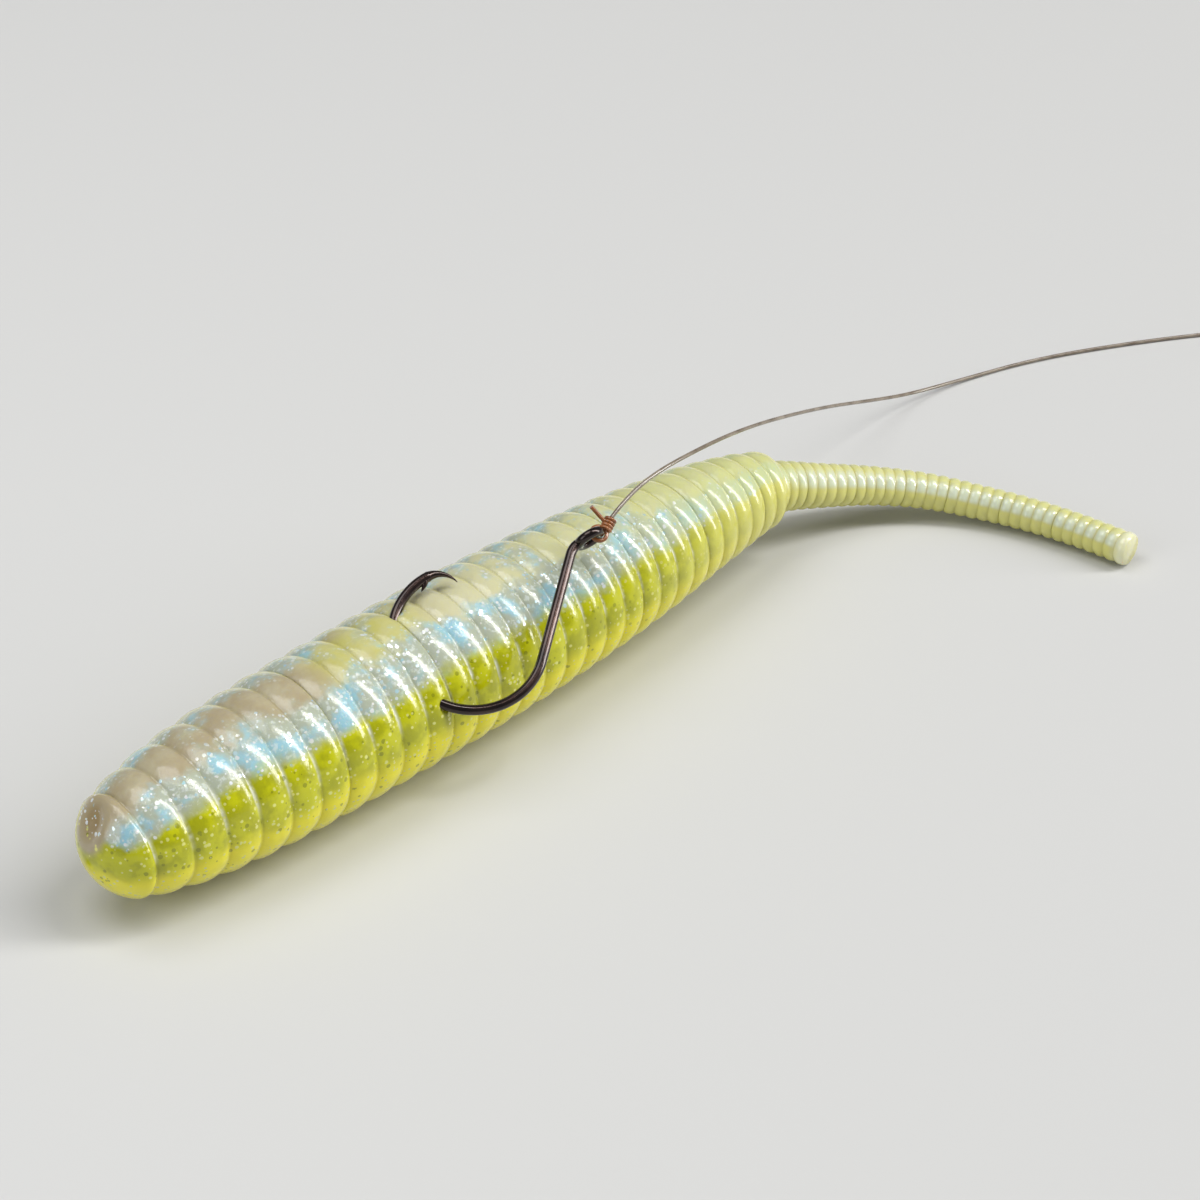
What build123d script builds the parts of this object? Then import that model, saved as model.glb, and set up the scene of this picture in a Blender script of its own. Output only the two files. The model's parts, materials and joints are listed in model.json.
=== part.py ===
from build123d import *
import math
import os

# Rigged soft plastic worm: a ribbed bait with a thin ribbed tail, a wide-gap hook
# pushed crosswise through its back, and a short leader tied to the hook's eye.
# Millimetres, +Z up.  The worm lies along X with its nose at -X, on the plane z = 0.

# ---- driving dimensions: worm -------------------------------------------------
NOSE_X = -45.1             # tip of the nose
AXIS_Y = 8.6               # the fat body's axis in plan
AXIS_Z = 6.2               # height of that axis: the soft belly sags flat on z = 0
BODY_R = 6.5               # crest radius where the body is fattest
NOSE_CAP = 3.0             # length of the plain rounded nose, up to the first groove
RIB_PITCH = 2.78           # pitch of the first body rib
RIB_SHRINK = 0.0347        # each body rib is this much shorter than the one before
RIB_COUNT = 29             # body ribs behind the nose cap
GROOVE = 0.34              # depth of a body groove below its crests
TAIL_R = 1.4               # crest radius at the tail's tip
TAIL_FLARE = 0.9           # extra radius at the tail's root
TAIL_RIB_PITCH = 0.97      # tail rib pitch
TAIL_GROOVE = 0.15         # depth of a tail groove

# ---- driving dimensions: flexing grooves --------------------------------------
BODY_BEND = 12.0           # degrees each way at a groove of the fat body
TAIL_BEND = 20.0           # degrees each way at a groove of the tail
BALL_SHARE = 0.5           # core ball radius as a share of the crest radius
CORE_GAP = 0.10            # clearance of the core ball in its cup
FACE_GAP = 0.12            # clearance of the facing ends at the axis

# ---- driving dimensions: hook --------------------------------------------------
WIRE_R = 0.40              # hook wire
BEND_R = 5.75              # round bend, to the wire's centre
SHANK = 9.9                # straight shank
SHANK_TURN = -49.0         # where the shank leaves the bend, degrees round it
POINT_TURN = 88.0          # where the point's inward curve starts, degrees round it
EYE_WIRE_R = 0.41          # the eye's own wire
EYE_R = 0.95               # eye ring, to the wire's centre
HOLE_GAP = 0.12            # clearance of the wire in its curved hole
ENTRY = (-16.03, 2.64, 8.44)            # where the wire enters the near flank
HOOK_U = (0.9771, -0.1441, 0.1563)      # in the hook's plane, towards the tail
HOOK_N = (-0.2077, -0.4895, 0.8469)     # normal of the hook's plane
BEND_AT = (4.0, 3.3)                    # bend centre in that plane, from the entry

# ---- driving dimensions: leader -------------------------------------------------
LINE_R = 0.165             # fluorocarbon line
COIL_R = 1.82              # put-away coil, to the middle of its turns
BUNDLE_R = 0.80            # thickness of that coil's bundle of turns, as a radius
COIL_Z = 1.05              # height of the coil's middle, lifted by its tie


def body_crest(t):
    """Crest radius of the fat body at t behind the nose tip."""
    grown = BODY_R - 3.5 * math.exp(-t / 6.6)
    taper = 3.3 * (max(t - 28.2, 0) / 41.0) ** 2.4
    return grown - taper


def tail_crest(t):
    """Crest radius of the tail at t behind its root."""
    return TAIL_R + TAIL_FLARE * math.exp(-t / 9.0)


def ribbed_face(grooves, crest, depth):
    """Half section of a ribbed run: round ribs between the groove stations."""
    edges = []
    for a, b in zip(grooves, grooves[1:]):
        low_a = crest(a) - depth
        low_b = crest(b) - depth
        mid = (a + b) / 2
        edges.append(ThreePointArc((a, low_a), (mid, crest(mid)), (b, low_b)))
    first, last = grooves[0], grooves[-1]
    edges.append(Line((last, crest(last) - depth), (last, 0)))
    edges.append(Line((last, 0), (first, 0)))
    edges.append(Line((first, 0), (first, crest(first) - depth)))
    return make_face(edges)


def front_joint(face, at, ball, lean):
    """Leaning end face with the core's ball standing out of it."""
    reach = 9.0
    slope = reach * math.tan(math.radians(lean))
    waste = Polygon((at - 4, 0), (at + FACE_GAP, 0), (at + FACE_GAP + slope, reach),
                    (at - 4, reach), align=None)
    return face - waste + half_disc(at, ball)


def rear_joint(face, at, ball, lean):
    """Leaning end face with the cup for the next section's ball."""
    reach = 9.0
    slope = reach * math.tan(math.radians(lean))
    waste = Polygon((at + 4, 0), (at - FACE_GAP, 0), (at - FACE_GAP - slope, reach),
                    (at + 4, reach), align=None)
    return face - waste - half_disc(at, ball + CORE_GAP)


def half_disc(at, radius):
    return Pos(at, 0) * Circle(radius) & Pos(at, radius) * Rectangle(4 * radius, 2 * radius)


def turned(face):
    return revolve(face, Axis.X, 360)


def placed(solid, start, toward):
    """Carry a turned section from the X axis to the run from start to toward."""
    along = Vector(*toward) - Vector(*start)
    side = Vector(0, 0, 1).cross(along)
    frame = Plane(origin=start, x_dir=along, z_dir=along.cross(side))
    return frame.location * solid


def ring(centre, axis, start, radius, wire_r):
    """Ring of round wire about axis; start points from its centre to where it is closed."""
    section = Plane(origin=centre + start * radius, x_dir=axis, z_dir=axis.cross(start))
    return revolve(section * Circle(wire_r), Axis(centre, axis), 360)


def bend_between(a, b, c):
    return (Vector(*b) - Vector(*a)).get_angle(Vector(*c) - Vector(*b))


# ---- the worm's sections ---------------------------------------------------------
def body_x(groove):
    """X of a body groove, counted from the nose cap."""
    return NOSE_X + NOSE_CAP + RIB_PITCH * groove - RIB_SHRINK * groove * (groove - 1) / 2


BODY_CUTS = (5, 8, 21, 25, RIB_COUNT)      # grooves where the fat body flexes
TAIL_ROOT = (body_x(RIB_COUNT), AXIS_Y - 0.3, 5.5)
TAIL_RUN = [TAIL_ROOT, (29.45, 6.53, 4.3), (33.75, 4.53, 3.2), (37.15, 1.83, 2.4),
            (39.75, -1.67, 1.8), (41.75, -6.07, 1.58), (42.95, -10.37, 1.52), (43.75, -14.85, 1.5)]


def body_section(first, last, lean_front, lean_rear):
    """Fat section between two grooves, in place along X."""
    stations = [body_x(k) for k in range(first, last + 1)]
    face = ribbed_face(stations, lambda x: body_crest(x - NOSE_X), GROOVE)
    if first > 0:
        face = front_joint(face, stations[0], ball_at(stations[0]), lean_front)
    face = rear_joint(face, stations[-1], ball_at(stations[-1]), lean_rear)
    return face


def ball_at(x):
    if x >= body_x(RIB_COUNT) - 0.01:
        return BALL_SHARE * tail_crest(0)
    return BALL_SHARE * body_crest(x - NOSE_X)


def nose_face():
    """Rounded nose cap ahead of the first groove, with its shallow nose dimple."""
    back = body_x(0)
    radius = body_crest(NOSE_CAP) - 0.1
    tip = (NOSE_X, 0)
    shoulder = (NOSE_X + NOSE_CAP / 3, 0.66 * radius)
    rim = (back, radius)
    outline = Spline(tip, shoulder, rim, tangents=[(0, 1), (1, 0.3)])
    cap = make_face([outline, Line(rim, (back, 0)), Line((back, 0), tip)])
    dimple = Pos(NOSE_X - 0.55, 0) * Circle(1.1)
    return cap - dimple


def on_table(solid):
    """The soft belly sags flat where it would reach below the table."""
    return solid - Pos(0, 0, -5) * Box(400, 400, 10)


BODY_LEAN = BODY_BEND / 2 + 2.0
root_bend = bend_between((body_x(25), AXIS_Y, AXIS_Z), TAIL_ROOT, TAIL_RUN[1])
ROOT_LEAN = (root_bend + TAIL_BEND) / 2 + 1.0

body_names = ["worm_head", "worm_collar", "worm_saddle", "worm_rear", "worm_rump"]
body_faces = []
cuts = (0,) + BODY_CUTS
for index, (first, last) in enumerate(zip(cuts, cuts[1:])):
    rear_lean = ROOT_LEAN if last == RIB_COUNT else BODY_LEAN
    body_faces.append(body_section(first, last, BODY_LEAN, rear_lean))
body_faces[0] = body_faces[0] + nose_face()

worm = {}
lift = Pos(0, AXIS_Y, AXIS_Z)
for name, face in zip(body_names, body_faces):
    worm[name] = on_table(lift * turned(face))

# The rump droops a little so that its end meets the tail's root.
rump_hinge = Vector(body_x(25), AXIS_Y, AXIS_Z)
rump_local = turned(Pos(-body_x(25), 0) * body_faces[-1])
worm["worm_rump"] = placed(rump_local, tuple(rump_hinge), TAIL_ROOT)

tail_start = 0.0
for index, (a, b) in enumerate(zip(TAIL_RUN, TAIL_RUN[1:])):
    length = (Vector(*b) - Vector(*a)).length
    ribs = round(length / TAIL_RIB_PITCH)
    stations = [length * k / ribs for k in range(ribs + 1)]
    crest = lambda t: tail_crest(tail_start + t)
    face = ribbed_face(stations, crest, TAIL_GROOVE)
    if index == 0:
        front_lean = ROOT_LEAN
    else:
        front_lean = (bend_between(TAIL_RUN[index - 1], a, b) + TAIL_BEND) / 2 + 1.0
    face = front_joint(face, 0, BALL_SHARE * crest(0), front_lean)
    if index < len(TAIL_RUN) - 2:
        rear_lean = (bend_between(a, b, TAIL_RUN[index + 2]) + TAIL_BEND) / 2 + 1.0
        face = rear_joint(face, length, BALL_SHARE * crest(length), rear_lean)
    worm[f"worm_tail_{index + 1}"] = placed(turned(face), a, b)
    tail_start += length

# ---- the hook ---------------------------------------------------------------------
hook_plane = Plane(origin=ENTRY, x_dir=HOOK_U, z_dir=HOOK_N)


def round_bend(turn, radius=BEND_R):
    """Point of the bend's circle in the hook's plane, turn in degrees."""
    a = math.radians(turn)
    return (BEND_AT[0] + radius * math.cos(a), BEND_AT[1] + radius * math.sin(a))


def heading(turn):
    a = math.radians(turn)
    return Vector(math.cos(a), math.sin(a))


def in_space(point):
    """A point of the hook's plane, in the worm's frame."""
    return hook_plane.from_local_coords((point.X, point.Y, 0))


shank_foot = Vector(*round_bend(SHANK_TURN))
shank_way = heading(SHANK_TURN + 90)
neck = shank_foot + shank_way * SHANK
eye_way = heading(-3)
eye_start = neck + eye_way * 0.5
eye_centre = neck + eye_way * (0.5 + EYE_R)
bend_end = Vector(*round_bend(POINT_TURN))

with BuildLine(hook_plane) as spine:
    FilletPolyline(tuple(eye_start)[:2], tuple(neck)[:2], tuple(shank_foot)[:2], radius=0.9)
    ThreePointArc(tuple(shank_foot)[:2], round_bend(190), tuple(bend_end)[:2])
wire_start = spine.wire() @ 0
wire_way = spine.wire() % 0
hook_wire = sweep(Plane(origin=wire_start, z_dir=wire_way) * Circle(WIRE_R), path=spine.wire())

# The point curls inward from the bend and tapers to its tip.
curl_turn = 68.0
curl_r = 1.75
curl_centre = bend_end - heading(POINT_TURN) * curl_r
sections = []
for step in range(9):
    share = step / 8
    turn = POINT_TURN - curl_turn * share
    place = curl_centre + heading(turn) * curl_r
    radius = WIRE_R - (WIRE_R - 0.05) * share ** 0.8
    where = in_space(place)
    way = in_space(place + heading(turn - 90)) - where
    sections.append(Plane(origin=where, z_dir=way) * Circle(radius))
hook_point = loft(sections)

# The barb stands on the inside of the bend and points back from the tip.
barb_turn = POINT_TURN + 8.0
barb_foot = Vector(*round_bend(barb_turn, BEND_R - 0.2))
barb_way = heading(barb_turn + 136)
barb_from = in_space(barb_foot)
barb_to = in_space(barb_foot + barb_way)
barb = Plane(origin=barb_from, z_dir=barb_to - barb_from) * Cone(
    0.27, 0.05, 0.95, align=(Align.CENTER, Align.CENTER, Align.MIN))

# The eye stands square to the hook's plane.
eye_at = in_space(eye_centre)
eye_dir = in_space(eye_centre + eye_way) - eye_at
eye_axis = eye_dir.cross(Vector(*HOOK_N))
eye = ring(eye_at, eye_axis, eye_dir, EYE_R, EYE_WIRE_R)
hook = hook_wire + hook_point + barb + eye

# Curved hole for the hook through the worm's back, with slightly open mouths.
with BuildLine(hook_plane) as hole_line:
    ThreePointArc(round_bend(-110), round_bend(175), round_bend(100))
hole_wire = hole_line.wire()
hole = sweep(Plane(origin=hole_wire @ 0, z_dir=hole_wire % 0) * Circle(WIRE_R + HOLE_GAP),
             path=hole_wire)
worm["worm_saddle"] = worm["worm_saddle"] - hole

# ---- the knot and the leader ---------------------------------------------------------
knot_reach = EYE_R + EYE_WIRE_R
knot_from = eye_at + eye_dir * (knot_reach + 0.15)
line_way = Vector(0.83, 0.22, 0.51).normalized()
KNOT_WRAPS = 4
KNOT_PITCH = 0.27
knot_end = knot_from + line_way * KNOT_WRAPS * KNOT_PITCH
wraps = ribbed_face([KNOT_PITCH * k for k in range(KNOT_WRAPS + 1)], lambda t: 0.52, 0.12)
knot = placed(turned(wraps), tuple(knot_from), tuple(knot_end))

# The line's own loop through the eye, clear of the ring's wire.
loop_at = eye_at + eye_dir * EYE_R
loop = ring(loop_at, eye_dir.cross(eye_axis), -eye_dir, EYE_WIRE_R + LINE_R + 0.03, LINE_R)

tag_way = (Vector(-0.35, 0.55, 0.75)).normalized()
tag_from = knot_from + line_way * 0.5 + tag_way * 0.3
tag = Plane(origin=tag_from, z_dir=tag_way) * Cylinder(
    LINE_R, 1.7, align=(Align.CENTER, Align.CENTER, Align.MIN))
knot = knot + loop + tag

# The leader arches off the knot, passes over the back and comes down behind the tail.
LEADER = [(2.98, 4.86, 14.58), (5.15, 5.3, 15.3), (8.65, 5.6, 15.8), (13.45, 6.0, 15.4),
          (18.85, 7.2, 14.0), (25.65, 9.2, 11.3), (35.35, 11.9, 7.0), (43.25, 13.5, 3.4),
          (49.45, 14.2, 1.0), (55.95, 13.3, 0.17), (63.45, 10.9, 0.17), (71.65, 6.7, 0.17),
          (79.25, 2.0, 0.17), (84.25, -2.1, 0.35), (86.85, -4.8, COIL_Z)]


def corner_radii(points):
    """Largest sensible arc at each corner of a route of straight runs."""
    radii = []
    for a, b, c in zip(points, points[1:], points[2:]):
        before = Vector(*b) - Vector(*a)
        after = Vector(*c) - Vector(*b)
        half = math.radians(before.get_angle(after)) / 2
        radii.append(0.45 * min(before.length, after.length) / math.tan(half))
    return radii


radii = corner_radii(LEADER)
leader_path = FilletPolyline(*LEADER, radius=radii)
leader = sweep(Plane(origin=leader_path @ 0, z_dir=leader_path % 0) * Circle(LINE_R),
               path=leader_path)
print("corner radii", [round(r, 1) for r in radii])
print("leader", round(leader_path.length, 2), "volume ratio",
      round(leader.volume / (math.pi * LINE_R ** 2 * leader_path.length), 4))

# The rest of the leader is one small tied coil; the run joins it at its outer turn.
arrive = (Vector(*LEADER[-1]) - Vector(*LEADER[-2]))
flat = Vector(arrive.X, arrive.Y, 0).normalized()
coil_side = Vector(flat.Y, -flat.X, 0)
COIL_AT = Vector(LEADER[-1][0], LEADER[-1][1], 0) + coil_side * (COIL_R + 4 * LINE_R)
coil = Pos(COIL_AT.X, COIL_AT.Y, COIL_Z) * Torus(COIL_R, BUNDLE_R)
leader = leader - coil

TIE_R = 0.12
tie_out = flat * COIL_R
tie = Plane(origin=(COIL_AT.X + tie_out.X, COIL_AT.Y + tie_out.Y, COIL_Z), x_dir=flat,
            z_dir=flat.cross(Vector(0, 0, 1))) * Torus(BUNDLE_R + TIE_R + 0.01, TIE_R)

# Loop knot that ends the leader, lying beside the coil.
END_R = 1.5
end_barrel = 1.3
end_from = COIL_AT + flat * 1.0 + coil_side * (COIL_R + BUNDLE_R + 0.02)
end_knot = Plane(origin=(end_from.X, end_from.Y, 0.46), z_dir=coil_side) * Cylinder(
    0.45, end_barrel, align=(Align.CENTER, Align.CENTER, Align.MIN))
end_loop_at = end_from + coil_side * (end_barrel + END_R - 0.1)
end_knot += Pos(end_loop_at.X, end_loop_at.Y, 0.30) * Torus(END_R, LINE_R)

parts = dict(worm)
parts["hook"] = hook
parts["line_knot"] = knot
parts["leader_line"] = leader
parts["leader_coil"] = coil
parts["leader_tie"] = tie
parts["leader_end_knot"] = end_knot

os.makedirs("parts", exist_ok=True)
for name, solid in parts.items():
    export_step(solid, f"parts/{name}.step")
    print(name, "solids", len(solid.solids()), "volume", round(solid.volume, 3))
print("hook pivot", in_space(Vector(*BEND_AT)))
print("knot end", knot_end, "coil at", COIL_AT)
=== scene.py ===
import json
import math

import bpy
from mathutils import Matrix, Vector


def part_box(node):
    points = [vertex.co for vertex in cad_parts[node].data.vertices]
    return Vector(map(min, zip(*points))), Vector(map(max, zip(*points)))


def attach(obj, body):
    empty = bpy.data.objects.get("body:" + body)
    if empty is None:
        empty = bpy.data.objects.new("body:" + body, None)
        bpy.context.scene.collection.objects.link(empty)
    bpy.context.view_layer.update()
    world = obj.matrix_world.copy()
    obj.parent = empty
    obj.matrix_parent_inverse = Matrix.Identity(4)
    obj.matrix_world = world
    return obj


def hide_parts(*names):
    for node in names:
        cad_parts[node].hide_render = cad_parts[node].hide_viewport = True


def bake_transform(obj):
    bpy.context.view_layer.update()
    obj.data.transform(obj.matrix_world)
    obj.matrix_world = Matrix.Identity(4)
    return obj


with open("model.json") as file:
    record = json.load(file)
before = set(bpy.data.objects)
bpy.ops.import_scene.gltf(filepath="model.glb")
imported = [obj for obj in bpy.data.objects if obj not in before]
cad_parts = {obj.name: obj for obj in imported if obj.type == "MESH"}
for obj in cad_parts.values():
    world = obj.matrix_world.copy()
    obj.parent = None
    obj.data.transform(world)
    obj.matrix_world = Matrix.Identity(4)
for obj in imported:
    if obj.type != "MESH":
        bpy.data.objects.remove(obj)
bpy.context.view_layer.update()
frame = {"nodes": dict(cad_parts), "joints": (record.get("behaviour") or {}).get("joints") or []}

# A rigged ribbed worm: the soft moulding as ribbed skins that bend across each joint, the
# hook as forged wire, the leader as one smooth cord.  Blender's units are metres, and MM
# turns millimetres into them.

MM = 0.001
UP = Vector((0, 0, 1))
JOINTS = {j["name"]: Vector(j["pos_m"]) for j in frame["joints"]}
AXES = {j["name"]: Vector(j["axis"]) for j in frame["joints"]}

# Driving sizes, in millimetres and degrees: the part's own, unless the comment says otherwise.
NOSE_CAP = 3.0
NOSE_POWER = 1.5           # the nose's outline is a superellipse of this power
NOSE_EDGE = 0.8            # the nose closes into its first groove over this length
RIB_PITCH = 2.78           # first body rib
RIB_SHRINK = 0.0347        # each rib is this much shorter than the one before
RIB_COUNT = 29
GROOVE = 0.34
BODY_R = 6.5
NOSE_LOSS = 3.5            # how much thinner the body is at its very front
NOSE_LENGTH = 6.6
REAR_LOSS = 3.3            # how much thinner the body gets over its rear
REAR_START = 28.2
REAR_LENGTH = 41.0
TAIL_RIB_PITCH = 0.97
TAIL_GROOVE = 0.17
TAIL_R = 1.4
ROOT_GAIN = 0.9            # how much thicker the tail is at its root
ROOT_LENGTH = 9.0
TIP_LEAN = 0.8             # the last section leans this far along X
WIRE_R = 0.40
BEND_R = 5.75
SHANK = 9.9
EYE_R = 0.95
EYE_WIRE_R = 0.38          # a little finer than the part's
EYE_TURN = -3.0            # the eye stands off the shank this way
EYE_NECK = 0.55
NECK_BEND = 0.75
SHANK_TURN = -49.0
POINT_TURN = 88.0
CURL_R = 1.75
CURL_TURN = 80.0
ENTRY_TURN = 218.0
EXIT_TURN = 126.5
BARB = 0.85                # shorter than the part's, to clear the soft lip at the hook's hole
BARB_FOOT_R = 0.30
BARB_END_R = 0.02
BARB_ROOT = 0.2            # how deep the barb starts in the wire
BARB_BOW = 0.12
BARB_TURN = 93.0
BARB_LEAN = 128.0
POINT_TAPER = 0.93         # how much of the wire's radius is ground off at the needle tip
LINE_R = 0.165
COIL_R = 1.82
COIL_Z = 1.05
COIL_TURNS = 17
COIL_STRIDE = 7
COIL_STEPS = 16            # route points in one turn
OUTER_LAYER = 0.66         # the coil's turns lie in two layers round the bundle's middle
INNER_LAYER = 0.33

# Looks of the moulding, in millimetres.
DIMPLE_RISE = 2.6          # the nose's dimple is this far above the axis
DIMPLE_FAR = 0.7           # and this far to its far side
DIMPLE_DEPTH = 0.42
DIMPLE_R = 1.15
BROWN_SPOT_R = 2.0
NOSE_FRONT = 1.6           # the bands of colour fade out over this much of the nose
LIP_REACH = 3.0            # the plastic is raised round the wire out to here
LIP_HEIGHT = 0.30
LIP_R = 0.9
PIT_DEPTH = 0.55
PIT_R = 0.55
TABLE_GAP = 0.00002        # metres between the table and what rests on it

# Mesh detail.
SPINE_STEPS = 60           # points of the spine from one joint to the next
CHORD = 0.35               # half the length over which the spine's direction is taken
BODY_AROUND, TAIL_AROUND = 192, 96
NOSE_RINGS, BODY_RINGS, TAIL_RINGS = 34, 14, 10
SKIN_CUTS = (6, 10, 19, 23, 27)      # body grooves where one skin ends and the next begins


# ---- camera, light and stage ---------------------------------------------------------
CAMERA_AT = Vector((-138.0, -138.35, 152.8))
CAMERA_AIM = Vector((0.565, 0.579, -0.588))
CAMERA_LENS = 95.2
FLOOR_SIDE = 2.0
FLOOR_COLOUR = (0.62, 0.62, 0.61, 1)
SKY_COLOUR = (0.93, 0.95, 1.0, 1)
SKY_LIGHT = 0.19           # strength of the sky's light on the worm
SKY_SEEN = 0.55            # and how much paler it is to the camera
LIT_POINT = Vector((-0.005, 0.006, 0.006))


def make_camera():
    aim = CAMERA_AIM.normalized()
    data = bpy.data.cameras.new("camera")
    data.lens = CAMERA_LENS
    data.sensor_width = 36.0
    data.clip_start = 0.01
    data.dof.use_dof = False
    camera = bpy.data.objects.new("camera", data)
    camera.location = CAMERA_AT * MM
    camera.rotation_euler = aim.to_track_quat("-Z", "Y").to_euler()
    bpy.context.scene.collection.objects.link(camera)
    bpy.context.scene.camera = camera


def area_light(name, way, size, power, colour=(1, 1, 1), size_y=None):
    """Lamp that stands off the lit point by way, in metres, and faces it."""
    data = bpy.data.lights.new(name, "AREA")
    data.energy = power
    data.color = colour
    data.size = size
    if size_y:
        data.shape = "RECTANGLE"
        data.size_y = size_y
    lamp = bpy.data.objects.new(name, data)
    lamp.location = LIT_POINT + Vector(way)
    lamp.rotation_euler = (LIT_POINT - lamp.location).to_track_quat("-Z", "Y").to_euler()
    bpy.context.scene.collection.objects.link(lamp)


def make_floor():
    side = FLOOR_SIDE
    mesh = bpy.data.meshes.new("floor")
    corners = [(-side, -side, 0), (side, -side, 0), (side, side, 0), (-side, side, 0)]
    mesh.from_pydata([Vector(c) for c in corners], [], [(0, 1, 2, 3)])
    floor = bpy.data.objects.new("floor", mesh)
    floor.location.z = -TABLE_GAP
    bpy.context.scene.collection.objects.link(floor)
    material, shader, _ = new_material("floor_pale")
    shader.inputs["Base Color"].default_value = FLOOR_COLOUR
    shader.inputs["Roughness"].default_value = 0.95
    shader.inputs["Specular IOR Level"].default_value = 0.10
    mesh.materials.append(material)


def make_sky():
    """A soft sky: pale to the camera, but lighting the worm only gently."""
    world = bpy.data.worlds.new("soft_world")
    world.use_nodes = True
    tree = world.node_tree
    background = tree.nodes["Background"]
    background.inputs["Color"].default_value = SKY_COLOUR
    seen = tree.nodes.new("ShaderNodeLightPath").outputs["Is Camera Ray"]
    strength = calc(tree, "ADD", SKY_LIGHT, calc(tree, "MULTIPLY", seen, SKY_SEEN))
    tree.links.new(strength, background.inputs["Strength"])
    bpy.context.scene.world = world


def make_stage():
    """Pale floor, soft sky and three lamps."""
    bpy.context.scene.view_settings.view_transform = "Standard"
    make_floor()
    make_sky()
    # The tall narrow window draws the long streaks down the ribs' flanks.
    area_light("window", (0.82, -0.72, 0.85), 0.275, 22.5, (1, 0.99, 0.97), 1.95)
    area_light("overhead", (-0.10, 0.10, 0.45), 0.30, 0.9)
    area_light("left_fill", (-0.40, 0.05, 0.22), 0.25, 0.45, (0.95, 0.97, 1))


# ---- materials -----------------------------------------------------------------------
NOISE_ROUGHNESS = 0.55


def new_material(name):
    """A material, its shader and its node tree."""
    material = bpy.data.materials.new(name)
    material.use_nodes = True
    tree = material.node_tree
    return material, tree.nodes["Principled BSDF"], tree


def ramp(tree, stops, source):
    """Colour read off stops, (position, colour) pairs, by source."""
    made = tree.nodes.new("ShaderNodeValToRGB")
    while len(made.color_ramp.elements) < len(stops):
        made.color_ramp.elements.new(0.5)
    for element, (at, colour) in zip(made.color_ramp.elements, stops):
        element.position = at
        element.color = (*colour, 1)
    tree.links.new(source, made.inputs[0])
    return made.outputs[0]


def mix(tree, factor, first, second, blend_type="MIX"):
    """Colour between first and second; each input is a value or a socket."""
    made = tree.nodes.new("ShaderNodeMix")
    made.data_type = "RGBA"
    made.blend_type = blend_type
    for index, value in ((0, factor), (6, first), (7, second)):
        if hasattr(value, "links"):
            tree.links.new(value, made.inputs[index])
        else:
            made.inputs[index].default_value = value if index == 0 else (*value, 1)
    return made.outputs[2]


def calc(tree, operation, first, second):
    """Sum, product and the like; each input is a number or a socket."""
    made = tree.nodes.new("ShaderNodeMath")
    made.operation = operation
    for index, value in enumerate((first, second)):
        if hasattr(value, "links"):
            tree.links.new(value, made.inputs[index])
        else:
            made.inputs[index].default_value = value
    return made.outputs[0]


def attribute(tree, name):
    made = tree.nodes.new("ShaderNodeAttribute")
    made.attribute_name = name
    return made.outputs["Fac"]


def noise_of(tree, scale, detail):
    made = tree.nodes.new("ShaderNodeTexNoise")
    made.inputs["Scale"].default_value = scale
    made.inputs["Detail"].default_value = detail
    made.inputs["Roughness"].default_value = NOISE_ROUGHNESS
    tree.links.new(place_of(tree), made.inputs["Vector"])
    return made.outputs["Fac"]


def place_of(tree):
    return tree.nodes.new("ShaderNodeTexCoord").outputs["Object"]


def roughen(tree, shader, low, spread, scale, detail):
    """Roughness that wanders from low to low + spread."""
    wandering = calc(tree, "MULTIPLY", noise_of(tree, scale, detail), spread)
    tree.links.new(calc(tree, "ADD", low, wandering), shader.inputs["Roughness"])


def add_bump(tree, shader, height, strength, distance):
    bump = tree.nodes.new("ShaderNodeBump")
    bump.inputs["Strength"].default_value = strength
    bump.inputs["Distance"].default_value = distance
    tree.links.new(height, bump.inputs["Height"])
    tree.links.new(bump.outputs[0], shader.inputs["Normal"])


# Colours of the moulding.
TAN = (0.41, 0.345, 0.215)
CREAM = (0.60, 0.58, 0.36)
PEARL = (0.42, 0.46, 0.36)
ICE = (0.32, 0.56, 0.64)
CHARTREUSE = (0.54, 0.55, 0.0)
OLIVE = (0.36, 0.37, 0.0)
YELLOW = (0.84, 0.77, 0.0)
PALE = (0.62, 0.64, 0.28)
TAIL_YELLOW = (0.68, 0.66, 0.20)
TAIL_ICE = (0.66, 0.74, 0.60)
TAIL_PALE = (0.62, 0.61, 0.34)
TAIL_END = (0.80, 0.80, 0.55)
GREEN_PATCH = (0.56, 0.54, 0.14)
SAND = (0.62, 0.60, 0.42)
SPARKLE = (0.72, 0.78, 0.74)
REAR_PEARL = (0.58, 0.64, 0.34)
BROWN = (0.28, 0.18, 0.05)
# Painted shade, multiplied into the grooves.
GROOVE_SHADE = (0.93, 0.92, 0.84)
# Painted highlight, laid down the grooves on the flank.
MILKY_HIGHLIGHT = (0.86, 0.89, 0.78)
DARK_FLECK = (0.20, 0.22, 0.0)
BRIGHT_FLECK = (0.90, 0.88, 0.26)
# Painted highlight for the plastic's edges.
RIM_HIGHLIGHT = (0.82, 0.76, 0.22)


def band(tree, source, low, high, edge):
    """1 between low and high, falling off over edge on both sides."""
    rise = smooth(tree, source, low - edge, low + edge)
    fall = smooth(tree, source, high - edge, high + edge)
    return calc(tree, "MULTIPLY", rise, calc(tree, "SUBTRACT", 1.0, fall))


def smooth(tree, source, low, high):
    """Smooth step of source from low to high."""
    made = tree.nodes.new("ShaderNodeMapRange")
    made.interpolation_type = "SMOOTHSTEP"
    tree.links.new(source, made.inputs["Value"])
    made.inputs["From Min"].default_value = low
    made.inputs["From Max"].default_value = high
    return made.outputs["Result"]


def fading(tree, amount, source, low, high):
    """Amount, falling to nothing as source goes from low to high."""
    left = calc(tree, "SUBTRACT", 1.0, smooth(tree, source, low, high))
    return calc(tree, "MULTIPLY", amount, left)


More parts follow.
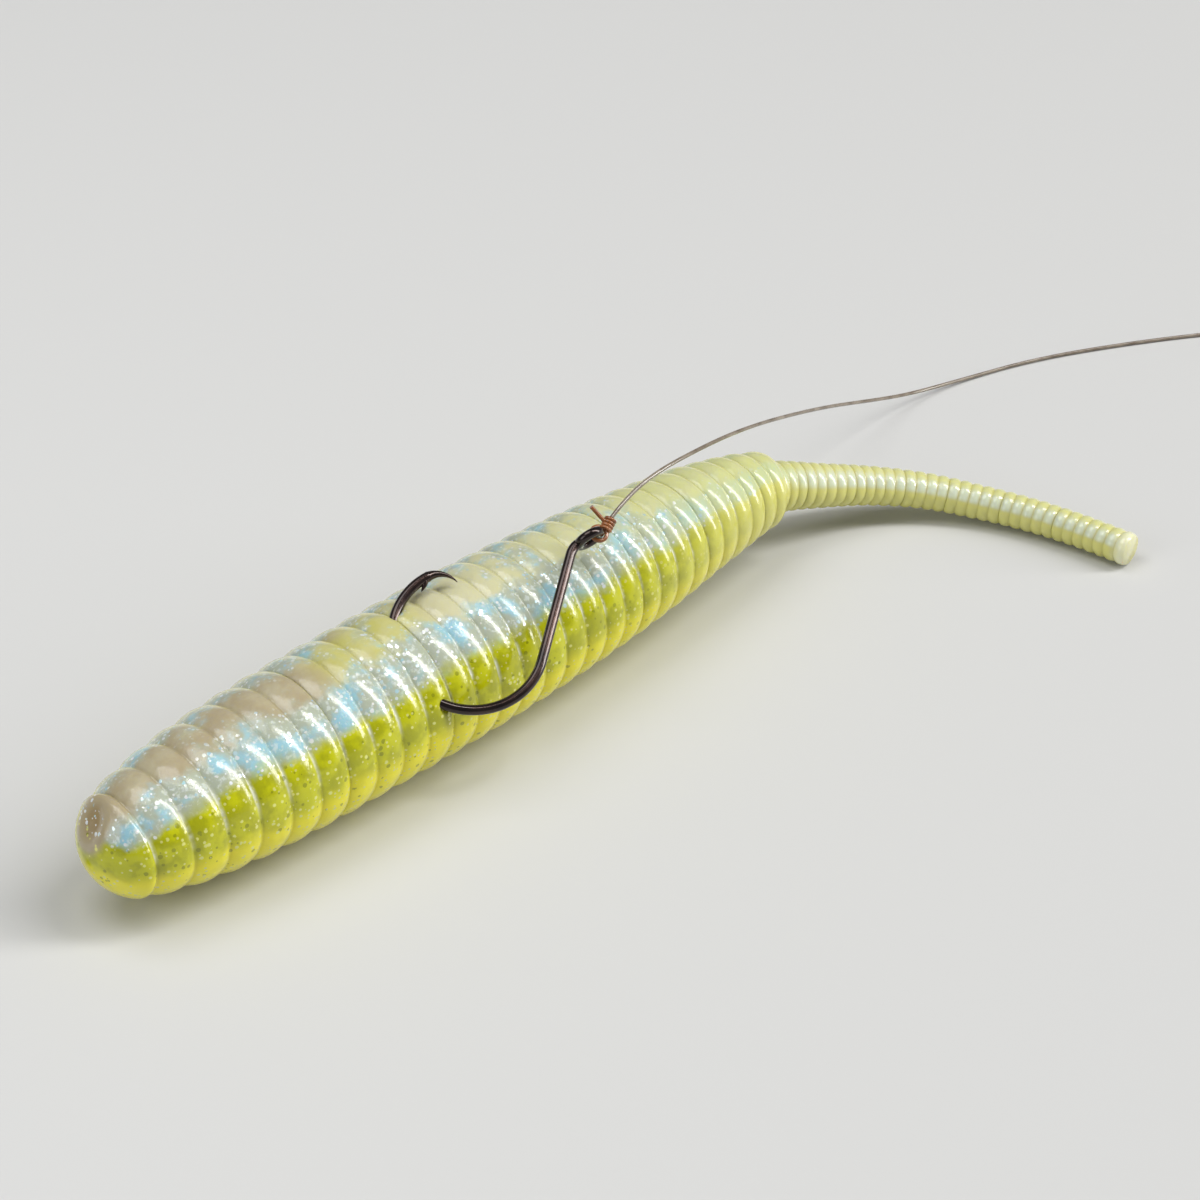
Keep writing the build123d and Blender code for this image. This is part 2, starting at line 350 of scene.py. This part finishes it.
def flecks(tree, scale, radius, share, shift=(0, 0, 0)):
    """Round flecks: a mask, and a random value for each fleck."""
    moved = tree.nodes.new("ShaderNodeVectorMath")
    moved.operation = "ADD"
    moved.inputs[1].default_value = shift
    tree.links.new(place_of(tree), moved.inputs[0])
    cells = tree.nodes.new("ShaderNodeTexVoronoi")
    cells.inputs["Scale"].default_value = scale
    tree.links.new(moved.outputs[0], cells.inputs["Vector"])
    split = tree.nodes.new("ShaderNodeSeparateColor")
    tree.links.new(cells.outputs["Color"], split.inputs[0])
    size = calc(tree, "MULTIPLY", calc(tree, "ADD", 0.35, split.outputs[2]), radius)
    near = calc(tree, "LESS_THAN", cells.outputs["Distance"], size)
    chosen = calc(tree, "LESS_THAN", split.outputs[0], share)
    return calc(tree, "MULTIPLY", near, chosen), split.outputs[1]


def worm_material():
    """Two-tone soft plastic: tan and pearl back over a yellow-green belly, with flakes."""
    material, shader, tree = new_material("worm_plastic")
    down = attribute(tree, "down")          # 0 on the back, 1 under the belly
    along = attribute(tree, "along")        # 0 at the nose, 1 at the tail's tip
    crest = attribute(tree, "crest")        # 0 in a groove, 1 on a rib's crest
    wander = calc(tree, "SUBTRACT", noise_of(tree, 150, 3), 0.5)
    fine = calc(tree, "SUBTRACT", noise_of(tree, 620, 3), 0.5)
    sway = calc(tree, "ADD", calc(tree, "MULTIPLY", wander, 0.18),
                calc(tree, "MULTIPLY", fine, 0.11))
    edge = calc(tree, "ADD", down, sway)

    # Back: tan at the head, paler and greener towards the tail, with one greener patch.
    back = ramp(tree, [(0.0, TAN), (0.22, TAN), (0.33, CREAM), (0.60, PALE),
                       (1.0, TAIL_YELLOW)], along)
    patch = calc(tree, "MULTIPLY", band(tree, along, 0.205, 0.30, 0.02),
                 smooth(tree, wander, -0.25, 0.05))
    back = mix(tree, calc(tree, "MULTIPLY", patch, 0.85), back, GREEN_PATCH)
    mottle = smooth(tree, noise_of(tree, 420, 4), 0.38, 0.66)
    back = mix(tree, calc(tree, "MULTIPLY", mottle, 0.30), back, SAND)

    # Pearl flank, with icy blue clouds.
    clouds = smooth(tree, noise_of(tree, 430, 4), 0.47, 0.66)
    pearl = mix(tree, clouds, PEARL, ICE)
    sparkle = smooth(tree, noise_of(tree, 2300, 4), 0.52, 0.66)
    pearl = mix(tree, calc(tree, "MULTIPLY", sparkle, 0.55), pearl, SPARKLE)
    pearl = mix(tree, smooth(tree, along, 0.42, 0.66), pearl, REAR_PEARL)

    # Belly: chartreuse with olive shade, bright yellow at its lower edge.
    shade = smooth(tree, noise_of(tree, 640, 4), 0.40, 0.60)
    belly = mix(tree, calc(tree, "MULTIPLY", shade, 0.80), CHARTREUSE, OLIVE)
    belly = mix(tree, smooth(tree, edge, 0.44, 0.62), belly, YELLOW)
    belly = mix(tree, smooth(tree, along, 0.45, 0.70), belly, TAIL_YELLOW)

    colour = mix(tree, smooth(tree, edge, 0.000, 0.055), back, pearl)
    colour = mix(tree, smooth(tree, edge, 0.135, 0.225), colour, belly)

    # The nose dimple is painted brown, darkest in its middle, with the back's tan reaching down
    # to it.
    near_dimple = attribute(tree, "nose")   # 1 in the dimple, falling off round it
    nose = calc(tree, "ADD", near_dimple, calc(tree, "MULTIPLY", wander, 0.35))
    colour = mix(tree, smooth(tree, nose, 0.22, 0.50), colour, TAN)
    dimple_brown = calc(tree, "MULTIPLY", smooth(tree, nose, 0.62, 0.95), 0.65)
    colour = mix(tree, dimple_brown, colour, BROWN)

    # Tail: pale yellow with icy squares on the upper part of its ribs.
    squares = calc(tree, "MULTIPLY", band(tree, down, 0.03, 0.27, 0.06),
                   smooth(tree, crest, 0.10, 0.90))
    upper = mix(tree, band(tree, down, 0.02, 0.30, 0.08), TAIL_YELLOW, TAIL_PALE)
    tail = mix(tree, calc(tree, "MULTIPLY", squares, 0.72), upper, TAIL_ICE)
    tail = mix(tree, smooth(tree, along, 0.985, 0.998), tail, TAIL_END)
    colour = mix(tree, smooth(tree, along, 0.66, 0.72), colour, tail)

    # Painted shade: the grooves are darkened a little against the crests.
    groove_shaded = mix(tree, 1.0, colour, GROOVE_SHADE, "MULTIPLY")
    colour = mix(tree, smooth(tree, crest, 0.0, 0.45), groove_shaded, colour)
    # Painted highlight: milky streaks in the grooves on the flank, lengthening the window light's
    # streaks.
    line = calc(tree, "SUBTRACT", 1.0, smooth(tree, crest, 0.02, 0.42))
    line = calc(tree, "MULTIPLY", line, band(tree, edge, 0.14, 0.36, 0.09))
    line = calc(tree, "MULTIPLY", line, smooth(tree, noise_of(tree, 900, 3), 0.30, 0.60))
    line = fading(tree, line, along, 0.5, 0.7)
    colour = mix(tree, calc(tree, "MULTIPLY", line, 0.75), colour, MILKY_HIGHLIGHT)

    # Flakes: icy and silver in the pearl, dark and bright specks in the belly.
    pearly = fading(tree, band(tree, edge, 0.02, 0.20, 0.02), along, 0.5, 0.72)
    flake, tint = flecks(tree, 3100, 0.42, 0.36)
    flake_colour = ramp(tree, [(0.0, (0.44, 0.68, 0.76)), (0.3, (0.62, 0.80, 0.82)),
                               (0.6, (0.90, 0.93, 0.90))], tint)
    flake = calc(tree, "MULTIPLY", flake, pearly)
    colour = mix(tree, flake, colour, flake_colour)
    yellowish = smooth(tree, edge, 0.17, 0.22)
    dark, _ = flecks(tree, 2300, 0.34, 0.22, (0.013, 0.007, 0.021))
    dark = fading(tree, calc(tree, "MULTIPLY", dark, yellowish), along, 0.4, 0.6)
    colour = mix(tree, calc(tree, "MULTIPLY", dark, 0.65), colour, DARK_FLECK)
    bright, _ = flecks(tree, 2900, 0.34, 0.40, (0.031, 0.017, 0.005))
    bright = fading(tree, calc(tree, "MULTIPLY", bright, yellowish), along, 0.4, 0.7)
    colour = mix(tree, calc(tree, "MULTIPLY", bright, 0.8), colour, BRIGHT_FLECK)
    # Painted highlight: edges seen at a grazing angle are mixed towards pale yellow, a painted
    # glow of the translucent plastic.
    facing = tree.nodes.new("ShaderNodeLayerWeight")
    facing.inputs["Blend"].default_value = 0.5
    painted_rim_light = calc(tree, "MULTIPLY", smooth(tree, facing.outputs["Facing"], 0.62, 0.96), 0.55)
    colour = mix(tree, painted_rim_light, colour, RIM_HIGHLIGHT)
    tree.links.new(colour, shader.inputs["Base Color"])

    metal = calc(tree, "MULTIPLY", calc(tree, "MAXIMUM", flake, bright), 0.30)
    tree.links.new(metal, shader.inputs["Metallic"])
    roughen(tree, shader, 0.15, 0.16, 900, 3)
    shader.inputs["IOR"].default_value = 1.50
    shader.inputs["Coat Weight"].default_value = 0.42
    shader.inputs["Coat Roughness"].default_value = 0.10
    shader.inputs["Subsurface Weight"].default_value = 0.30
    shader.inputs["Subsurface Radius"].default_value = (1.0, 0.9, 0.25)
    shader.inputs["Subsurface Scale"].default_value = 0.0011

    bumps = calc(tree, "ADD", calc(tree, "MULTIPLY", noise_of(tree, 1300, 3), 0.7),
                 calc(tree, "MULTIPLY", noise_of(tree, 420, 2), 0.9))
    add_bump(tree, shader, bumps, 0.35, 0.00022)
    return material


def hook_material():
    """Black-bronze plating with a brownish sheen and faint draw marks."""
    material, shader, tree = new_material("hook_wire")
    shade = noise_of(tree, 420, 4)
    colour = ramp(tree, [(0.3, (0.010, 0.007, 0.007)), (0.7, (0.060, 0.034, 0.028))], shade)
    tree.links.new(colour, shader.inputs["Base Color"])
    shader.inputs["Metallic"].default_value = 0.9
    roughen(tree, shader, 0.16, 0.16, 1500, 3)
    shader.inputs["Coat Weight"].default_value = 0.6
    shader.inputs["Coat Roughness"].default_value = 0.06
    add_bump(tree, shader, noise_of(tree, 2600, 3), 0.15, 0.00005)
    return material


def line_material(name, low, high):
    """Smoky clear line, between two shades."""
    material, shader, tree = new_material(name)
    shade = noise_of(tree, 700, 3)
    colour = ramp(tree, [(0.35, low), (0.65, high)], shade)
    tree.links.new(colour, shader.inputs["Base Color"])
    roughen(tree, shader, 0.14, 0.14, 1800, 2)
    shader.inputs["Transmission Weight"].default_value = 0.25
    shader.inputs["Coat Weight"].default_value = 0.5
    return material


# ---- the worm's spine ----------------------------------------------------------------
def spine_points():
    """Nose tip, every joint of the moulding and the tail's tip, in order."""
    nose_low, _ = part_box("worm_head")
    axis = JOINTS["head_turn"]
    nose = Vector((nose_low.x, axis.y, axis.z))
    names = ["head_turn", "collar_nod", "rear_turn", "rump_nod"]
    names += [n for n in JOINTS if n.startswith("tail_")]
    tip_low, tip_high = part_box("worm_tail_7")
    last = JOINTS["tail_turn_7"]
    tip = Vector((last.x + TIP_LEAN * MM, tip_low.y, (tip_low.z + tip_high.z) / 2))
    return [nose] + [JOINTS[n] for n in names] + [tip]


class Spine:
    """Smooth centreline through the joints, read by length in millimetres."""

    def __init__(self, points):
        self.points = []
        padded = [points[0] * 2 - points[1]] + points + [points[-1] * 2 - points[-2]]
        for a, b, c, d in zip(padded, padded[1:], padded[2:], padded[3:]):
            for k in range(SPINE_STEPS):
                self.points.append(self.between(a, b, c, d, k / SPINE_STEPS))
        self.points.append(points[-1])
        self.length = [0.0]
        for a, b in zip(self.points, self.points[1:]):
            self.length.append(self.length[-1] + (b - a).length / MM)

    @staticmethod
    def between(a, b, c, d, t):
        """Centripetal Catmull-Rom point of the run from b to c."""
        knots = [0.0]
        for p, q in ((a, b), (b, c), (c, d)):
            knots.append(knots[-1] + math.sqrt((q - p).length) + 1e-9)
        k0, k1, k2, k3 = knots
        u = k1 + (k2 - k1) * t
        ab = a.lerp(b, (u - k0) / (k1 - k0))
        bc = b.lerp(c, (u - k1) / (k2 - k1))
        cd = c.lerp(d, (u - k2) / (k3 - k2))
        first = ab.lerp(bc, (u - k0) / (k2 - k0))
        second = bc.lerp(cd, (u - k1) / (k3 - k1))
        return first.lerp(second, (u - k1) / (k2 - k1))

    def at(self, s):
        """Point at length s."""
        s = min(max(s, 0.0), self.length[-1])
        low, high = 0, len(self.length) - 1
        while high - low > 1:
            mid = (low + high) // 2
            if self.length[mid] <= s:
                low = mid
            else:
                high = mid
        span = self.length[high] - self.length[low]
        return self.points[low].lerp(self.points[high], (s - self.length[low]) / span)

    def frame(self, s):
        """Point, direction, near-side and up vectors at s."""
        ahead = (self.at(s + CHORD) - self.at(s - CHORD)).normalized()
        far = UP.cross(ahead).normalized()
        return self.at(s), ahead, -far, ahead.cross(far)

    def station_of(self, point):
        """Length at which the spine comes nearest to a point."""
        best = min(range(len(self.points)), key=lambda k: (self.points[k] - point).length)
        return self.length[best]


SPINE = Spine(spine_points())


def groove_at(k):
    """Length from the nose to body groove k."""
    return NOSE_CAP + RIB_PITCH * k - RIB_SHRINK * k * (k - 1) / 2


def groove_number(s):
    """Groove count, with a fraction, at length s of the body."""
    lead = RIB_PITCH + RIB_SHRINK / 2
    return (lead - math.sqrt(lead ** 2 - 2 * RIB_SHRINK * (s - NOSE_CAP))) / RIB_SHRINK


BODY_END = groove_at(RIB_COUNT)
TAIL_LENGTH = SPINE.length[-1] - BODY_END
TAIL_RIBS = round(TAIL_LENGTH / TAIL_RIB_PITCH)


def body_crest(t):
    """Radius over the body's crests at length t."""
    front = NOSE_LOSS * math.exp(-t / NOSE_LENGTH)
    return BODY_R - front - REAR_LOSS * (max(t - REAR_START, 0) / REAR_LENGTH) ** 2.4


def tail_crest(t):
    """Radius over the tail's crests at length t from its root."""
    return TAIL_R + ROOT_GAIN * math.exp(-t / ROOT_LENGTH)


def groove_stations():
    """Lengths of all the body's grooves, and of the tail's."""
    body = [groove_at(k) for k in range(RIB_COUNT + 1)]
    tail = [BODY_END + TAIL_LENGTH * k / TAIL_RIBS for k in range(1, TAIL_RIBS + 1)]
    return body, tail


def rib_shape(phase):
    """Height over a rib, 0 in its grooves and 1 at its crest."""
    return max(1 - (2 * phase - 1) ** 2, 0) ** 0.85


def radius_at(s):
    """Radius in millimetres, and height over the rib from 0 to 1, at length s."""
    if s < NOSE_CAP:
        share = 1 - s / NOSE_CAP
        closing = max(1 - (NOSE_CAP - s) / NOSE_EDGE, 0)
        top = body_crest(NOSE_CAP) * math.sqrt(max(1 - share ** NOSE_POWER, 0))
        return top - GROOVE * closing ** 2.5, 1 - closing ** 3
    if s <= BODY_END:
        phase = groove_number(s) % 1.0
        h = rib_shape(phase)
        return body_crest(s) - GROOVE * (1 - h), h
    t = s - BODY_END
    phase = (t / (TAIL_LENGTH / TAIL_RIBS)) % 1.0
    h = rib_shape(phase)
    return tail_crest(t) - TAIL_GROOVE * (1 - h), h


# ---- the hook's plane ----------------------------------------------------------------
# The way that the plane's x axis points; the hook's turns are counted from it.
HOOK_U = Vector((0.9771, -0.1441, 0.1563)).normalized()


def hook_frame():
    """Middle of the bend, and the hook plane's x, y and normal."""
    pivot = JOINTS["hook_swing"]
    normal = AXES["hook_swing"].normalized()
    u = (HOOK_U - normal * HOOK_U.dot(normal)).normalized()
    return pivot, u, normal.cross(u), normal


def in_hook(x, y, z=0.0):
    """A point given in millimetres from the bend's centre, in the hook's plane."""
    pivot, u, v, n = hook_frame()
    return pivot + (u * x + v * y + n * z) * MM


def turned_way(turn):
    """Cosine and sine of a turn in degrees."""
    return math.cos(math.radians(turn)), math.sin(math.radians(turn))


# ---- skins ---------------------------------------------------------------------------
def ring_stations(start, end):
    """Ring stations between two grooves, closer near the grooves."""
    body, tail = groove_stations()
    marks = [0.0] + body + tail
    inside = [m for m in marks if start - 1e-6 <= m <= end + 1e-6]
    stations = [inside[0]]
    for a, b in zip(inside, inside[1:]):
        count = BODY_RINGS if b <= BODY_END + 1e-6 else TAIL_RINGS
        if a == 0.0:
            count = NOSE_RINGS
        for k in range(1, count + 1):
            share = 0.5 - 0.5 * math.cos(math.pi * k / count)
            share = 0.6 * share + 0.4 * k / count
            stations.append(a + (b - a) * share)
    return stations


def skin_piece(name, start, end, around, material):
    """Closed ribbed skin from one groove to another, with flat hidden ends."""
    stations = ring_stations(start, end)
    verts, faces, down, along, crest, nose = [], [], [], [], [], []
    total = SPINE.length[-1]
    for s in stations:
        centre, ahead, near, up = SPINE.frame(s)
        radius, rib = radius_at(s)
        front = min(s / NOSE_FRONT, 1.0) ** 0.5
        for k in range(around):
            angle = 2 * math.pi * k / around
            way = up * math.cos(angle) + near * math.sin(angle)
            point = centre + way * radius * MM
            gap = (way * radius - up * DIMPLE_RISE + near * DIMPLE_FAR).length
            point = pushed_by_hook(point, centre) + ahead * nose_dimple(gap, s) * MM
            point.z = soft_floor(point.z)
            verts.append(point)
            down.append(0.5 - 0.5 * math.cos(angle) * front)
            along.append(s / total)
            crest.append(rib)
            nose.append(math.exp(-(gap / BROWN_SPOT_R) ** 2) if s < NOSE_CAP else 0.0)
    rows = len(stations)
    for r in range(rows - 1):
        for k in range(around):
            a = r * around + k
            b = r * around + (k + 1) % around
            faces.append((a, b, b + around, a + around))
    for row, flip in ((0, True), (rows - 1, False)):
        ring = [row * around + k for k in range(around)]
        centre_index = len(verts)
        verts.append(sum((verts[i] for i in ring), Vector()) / around)
        down.append(0.5)
        along.append(stations[row] / total)
        crest.append(0.0)
        nose.append(0.0)
        for k in range(around):
            a, b = ring[k], ring[(k + 1) % around]
            faces.append((centre_index, b, a) if flip else (centre_index, a, b))
    mesh = bpy.data.meshes.new(name)
    mesh.from_pydata(verts, [], faces)
    for label, values in (("down", down), ("along", along), ("crest", crest), ("nose", nose)):
        layer = mesh.attributes.new(label, "FLOAT", "POINT")
        layer.data.foreach_set("value", values)
    mesh.materials.append(material)
    mesh.shade_smooth()
    mesh.update()
    piece = bpy.data.objects.new(name, mesh)
    bpy.context.scene.collection.objects.link(piece)
    return piece


def pushed_by_hook(point, centre):
    """Soft plastic round the hook's two holes: a raised lip with a pit at the wire."""
    for turn in (ENTRY_TURN, EXIT_TURN):
        c, s = turned_way(turn)
        gap = (point - in_hook(BEND_R * c, BEND_R * s)).length / MM
        if gap > LIP_REACH:
            continue
        lip = LIP_HEIGHT * math.exp(-(gap / LIP_R) ** 2)
        pit = PIT_DEPTH * math.exp(-(gap / PIT_R) ** 2)
        point = point + (point - centre).normalized() * (lip - pit) * MM
    return point


def nose_dimple(gap, s):
    """Depth of the shallow moulding dimple on the nose, at a distance from its middle."""
    if s > NOSE_CAP:
        return 0.0
    return DIMPLE_DEPTH * math.exp(-(gap / DIMPLE_R) ** 4)


def soft_floor(z):
    """The soft belly rests flat: nothing reaches below the table."""
    return max(z, TABLE_GAP)


def make_worm():
    """One skin across each joint, and one that rides the saddle alone."""
    material = worm_material()
    body, tail = groove_stations()
    tail = [BODY_END] + tail
    tail_joints = [n for n in JOINTS if n.startswith("tail_")]
    cuts = [0.0] + [body[k] for k in SKIN_CUTS]
    stations = [SPINE.station_of(JOINTS[n]) for n in tail_joints] + [SPINE.length[-1]]
    for a, b in zip(stations, stations[1:-1]):
        mid = (a + b) / 2
        cuts.append(min(tail, key=lambda g: abs(g - mid)))
    cuts.append(SPINE.length[-1])
    # Runs that cross a joint, with the two bodies that each blends between.
    pairs = [("head", "collar"), ("collar", "saddle"), ("saddle", None), ("saddle", "rear"),
             ("rear", "rump"), ("rump", "tail_1")]
    pairs += [(f"tail_{k}", f"tail_{k + 1}") for k in range(1, 7)]
    for start, end, (a, b) in zip(cuts, cuts[1:], pairs):
        around = BODY_AROUND if start < BODY_END - 6 else TAIL_AROUND
        label = a if b is None else f"{a}_to_{b}"
        piece = skin_piece(f"skin_{label}", start, end, around, material)
        if b is None:
            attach(piece, a)
            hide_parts("worm_saddle")
            continue
        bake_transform(piece)
        # Ahead of the saddle a skin replaces its front section, and behind it its rear one.
        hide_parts("worm_" + (a if b in ("collar", "saddle") else b))


# ---- hook ----------------------------------------------------------------------------
def tube_mesh(name, path, radii, around, ring=False):
    """Round tube along a list of points, with a radius at each: closed at its ends, or a ring."""
    verts, faces = [], []
    count = len(path)
    side = None
    for k, (p, r) in enumerate(zip(path, radii)):
        if ring:
            tangent = (path[(k + 1) % count] - path[k - 1]).normalized()
        else:
            tangent = (path[min(k + 1, count - 1)] - path[max(k - 1, 0)]).normalized()
        if side is None:
            side = tangent.orthogonal().normalized()
        side = (side - tangent * side.dot(tangent)).normalized()
        other = tangent.cross(side)
        for j in range(around):
            a = 2 * math.pi * j / around
            verts.append(p + (side * math.cos(a) + other * math.sin(a)) * r)
    last = count if ring else count - 1
    for k in range(last):
        for j in range(around):
            a = k * around + j
            b = k * around + (j + 1) % around
            c = ((k + 1) % count) * around
            faces.append((a, b, c + (j + 1) % around, c + j))
    if not ring:
        for k, flip in ((0, True), (count - 1, False)):
            centre = len(verts)
            verts.append(path[k].copy())
            for j in range(around):
                a = k * around + j
                b = k * around + (j + 1) % around
                faces.append((centre, b, a) if flip else (centre, a, b))
    mesh = bpy.data.meshes.new(name)
    mesh.from_pydata(verts, [], faces)
    mesh.shade_smooth()
    piece = bpy.data.objects.new(name, mesh)
    bpy.context.scene.collection.objects.link(piece)
    return piece


def hook_route():
    """The wire from the eye to the needle tip, as (x, y, share of the wire's radius) in the
    hook's plane, and its start at the eye."""
    route = []
    foot_x, foot_y = (BEND_R * c for c in turned_way(SHANK_TURN))
    way_x, way_y = turned_way(SHANK_TURN + 90)
    neck = (foot_x + way_x * SHANK, foot_y + way_y * SHANK)
    eye_x, eye_y = turned_way(EYE_TURN)
    start = (neck[0] + eye_x * EYE_NECK, neck[1] + eye_y * EYE_NECK)
    # Rounded neck between the eye and the shank, as a quadratic curve.
    before = (neck[0] - way_x * NECK_BEND, neck[1] - way_y * NECK_BEND)
    for k in range(13):
        t = k / 12
        x = (1 - t) ** 2 * start[0] + 2 * t * (1 - t) * neck[0] + t * t * before[0]
        y = (1 - t) ** 2 * start[1] + 2 * t * (1 - t) * neck[1] + t * t * before[1]
        route.append((x, y, 1.0))
    for k in range(1, 40):
        t = k / 40
        x = before[0] + (foot_x - before[0]) * t
        y = before[1] + (foot_y - before[1]) * t
        route.append((x, y, 1.0))
    sweep = POINT_TURN - (SHANK_TURN + 360)
    for k in range(121):
        c, s = turned_way(SHANK_TURN + sweep * k / 120)
        route.append((BEND_R * c, BEND_R * s, 1.0))
    end_c, end_s = turned_way(POINT_TURN)
    centre = ((BEND_R - CURL_R) * end_c, (BEND_R - CURL_R) * end_s)
    for k in range(1, 41):
        share = k / 40
        c, s = turned_way(POINT_TURN - CURL_TURN * share)
        size = 1 - POINT_TAPER * share ** 0.9
        route.append((centre[0] + CURL_R * c, centre[1] + CURL_R * s, size))
    return route, start


def make_barb():
    """Cut barb: a thin wedge standing off the inside of the bend, pointing back."""
    c, s = turned_way(BARB_TURN)
    foot = ((BEND_R - BARB_ROOT) * c, (BEND_R - BARB_ROOT) * s)
    back_c, back_s = turned_way(BARB_TURN + BARB_LEAN)
    side_c, side_s = turned_way(BARB_TURN - 90)
    path, radii = [], []
    for k in range(12):
        t = k / 11
        lean = BARB_BOW * math.sin(math.pi * t)
        path.append(in_hook(foot[0] + back_c * BARB * t + side_c * lean,
                            foot[1] + back_s * BARB * t + side_s * lean))
        radii.append((BARB_FOOT_R * (1 - t) ** 0.8 + BARB_END_R) * MM)
    return path, radii


def make_hook():
    material = hook_material()
    route, start = hook_route()
    wire = tube_mesh("hook_wire", [in_hook(x, y) for x, y, _ in route],
                     [WIRE_R * MM * size for _, _, size in route], 36)
    eye_x, eye_y = turned_way(EYE_TURN)
    middle = (start[0] + eye_x * EYE_R, start[1] + eye_y * EYE_R)
    ring = []
    for k in range(64):
        c, s = turned_way(360 * k / 64)
        ring.append(in_hook(middle[0] + eye_x * EYE_R * c,
                            middle[1] + eye_y * EYE_R * c, EYE_R * s))
    eye = tube_mesh("hook_eye", ring, [EYE_WIRE_R * MM] * len(ring), 28, True)
    path, radii = make_barb()
    barb = tube_mesh("hook_barb", path, radii, 20)
    for piece in (wire, eye, barb):
        piece.data.materials.append(material)
        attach(piece, "hook")
    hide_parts("hook")


# ---- leader --------------------------------------------------------------------------
# Route of the free line from its knot to its coil, in millimetres.
LEADER = [(2.98, 4.86, 14.58), (5.15, 5.3, 15.3), (8.65, 5.6, 15.8), (13.45, 6.0, 15.4),
          (18.85, 7.2, 14.0), (25.65, 9.2, 11.3), (35.35, 11.9, 7.0), (43.25, 13.5, 3.4),
          (49.45, 14.2, 1.0), (55.95, 13.3, 0.17), (63.45, 10.9, 0.17), (71.65, 6.7, 0.17),
          (79.25, 2.0, 0.17), (84.25, -2.1, 0.35), (86.85, -4.8, COIL_Z)]


def coil_points():
    """Turns of the put-away coil, wound into a round bundle."""
    last, before = Vector(LEADER[-1]), Vector(LEADER[-2])
    flat = Vector((last.x - before.x, last.y - before.y, 0)).normalized()
    side = Vector((flat.y, -flat.x, 0))
    centre = Vector((last.x, last.y, 0)) + side * (COIL_R + 4 * LINE_R)
    slots = [(OUTER_LAYER, 30 * k) for k in range(11)]
    slots += [(INNER_LAYER, 60 * k + 30) for k in range(6)]
    # Hand-wound: each turn lies some way round the bundle from the one before.
    slots = [slots[k * COIL_STRIDE % COIL_TURNS] for k in range(COIL_TURNS)]
    points = []
    for turn in range(COIL_TURNS):
        here, after = slots[turn], slots[min(turn + 1, COIL_TURNS - 1)]
        for k in range(COIL_STEPS):
            share = k / COIL_STEPS
            rho = here[0] + (after[0] - here[0]) * share
            lean = math.radians(here[1] + (after[1] - here[1]) * share)
            round_way = math.radians(180) - 2 * math.pi * share
            radius = COIL_R + rho * math.cos(lean)
            way = side * math.cos(round_way) + flat * math.sin(round_way)
            spot = centre + way * radius
            points.append(Vector((spot.x, spot.y, COIL_Z + rho * math.sin(lean))))
    return points


def make_leader():
    material = line_material("line", (0.20, 0.155, 0.11), (0.37, 0.31, 0.24))
    rusty = line_material("line_knot", (0.20, 0.055, 0.012), (0.46, 0.17, 0.05))
    route = [Vector(p) for p in LEADER[:-1]] + coil_points()
    data = bpy.data.curves.new("leader", "CURVE")
    data.dimensions = "3D"
    spline = data.splines.new("NURBS")
    spline.points.add(len(route) - 1)
    for point, place in zip(spline.points, route):
        point.co = (*(place * MM), 1)
    spline.order_u = 3
    spline.use_endpoint_u = True
    spline.resolution_u = 6
    data.resolution_u = 6
    data.bevel_depth = LINE_R * MM
    data.bevel_resolution = 3
    data.use_fill_caps = True
    data.materials.append(material)
    leader = bpy.data.objects.new("leader", data)
    bpy.context.scene.collection.objects.link(leader)
    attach(leader, "saddle")
    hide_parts("leader_line", "leader_coil")
    for name in ("line_knot", "leader_tie", "leader_end_knot"):
        item = frame["nodes"][name]
        item.data.materials.clear()
        item.data.materials.append(rusty if name == "line_knot" else material)
        item.data.shade_smooth()


make_camera()
make_stage()
make_worm()
make_hook()
make_leader()
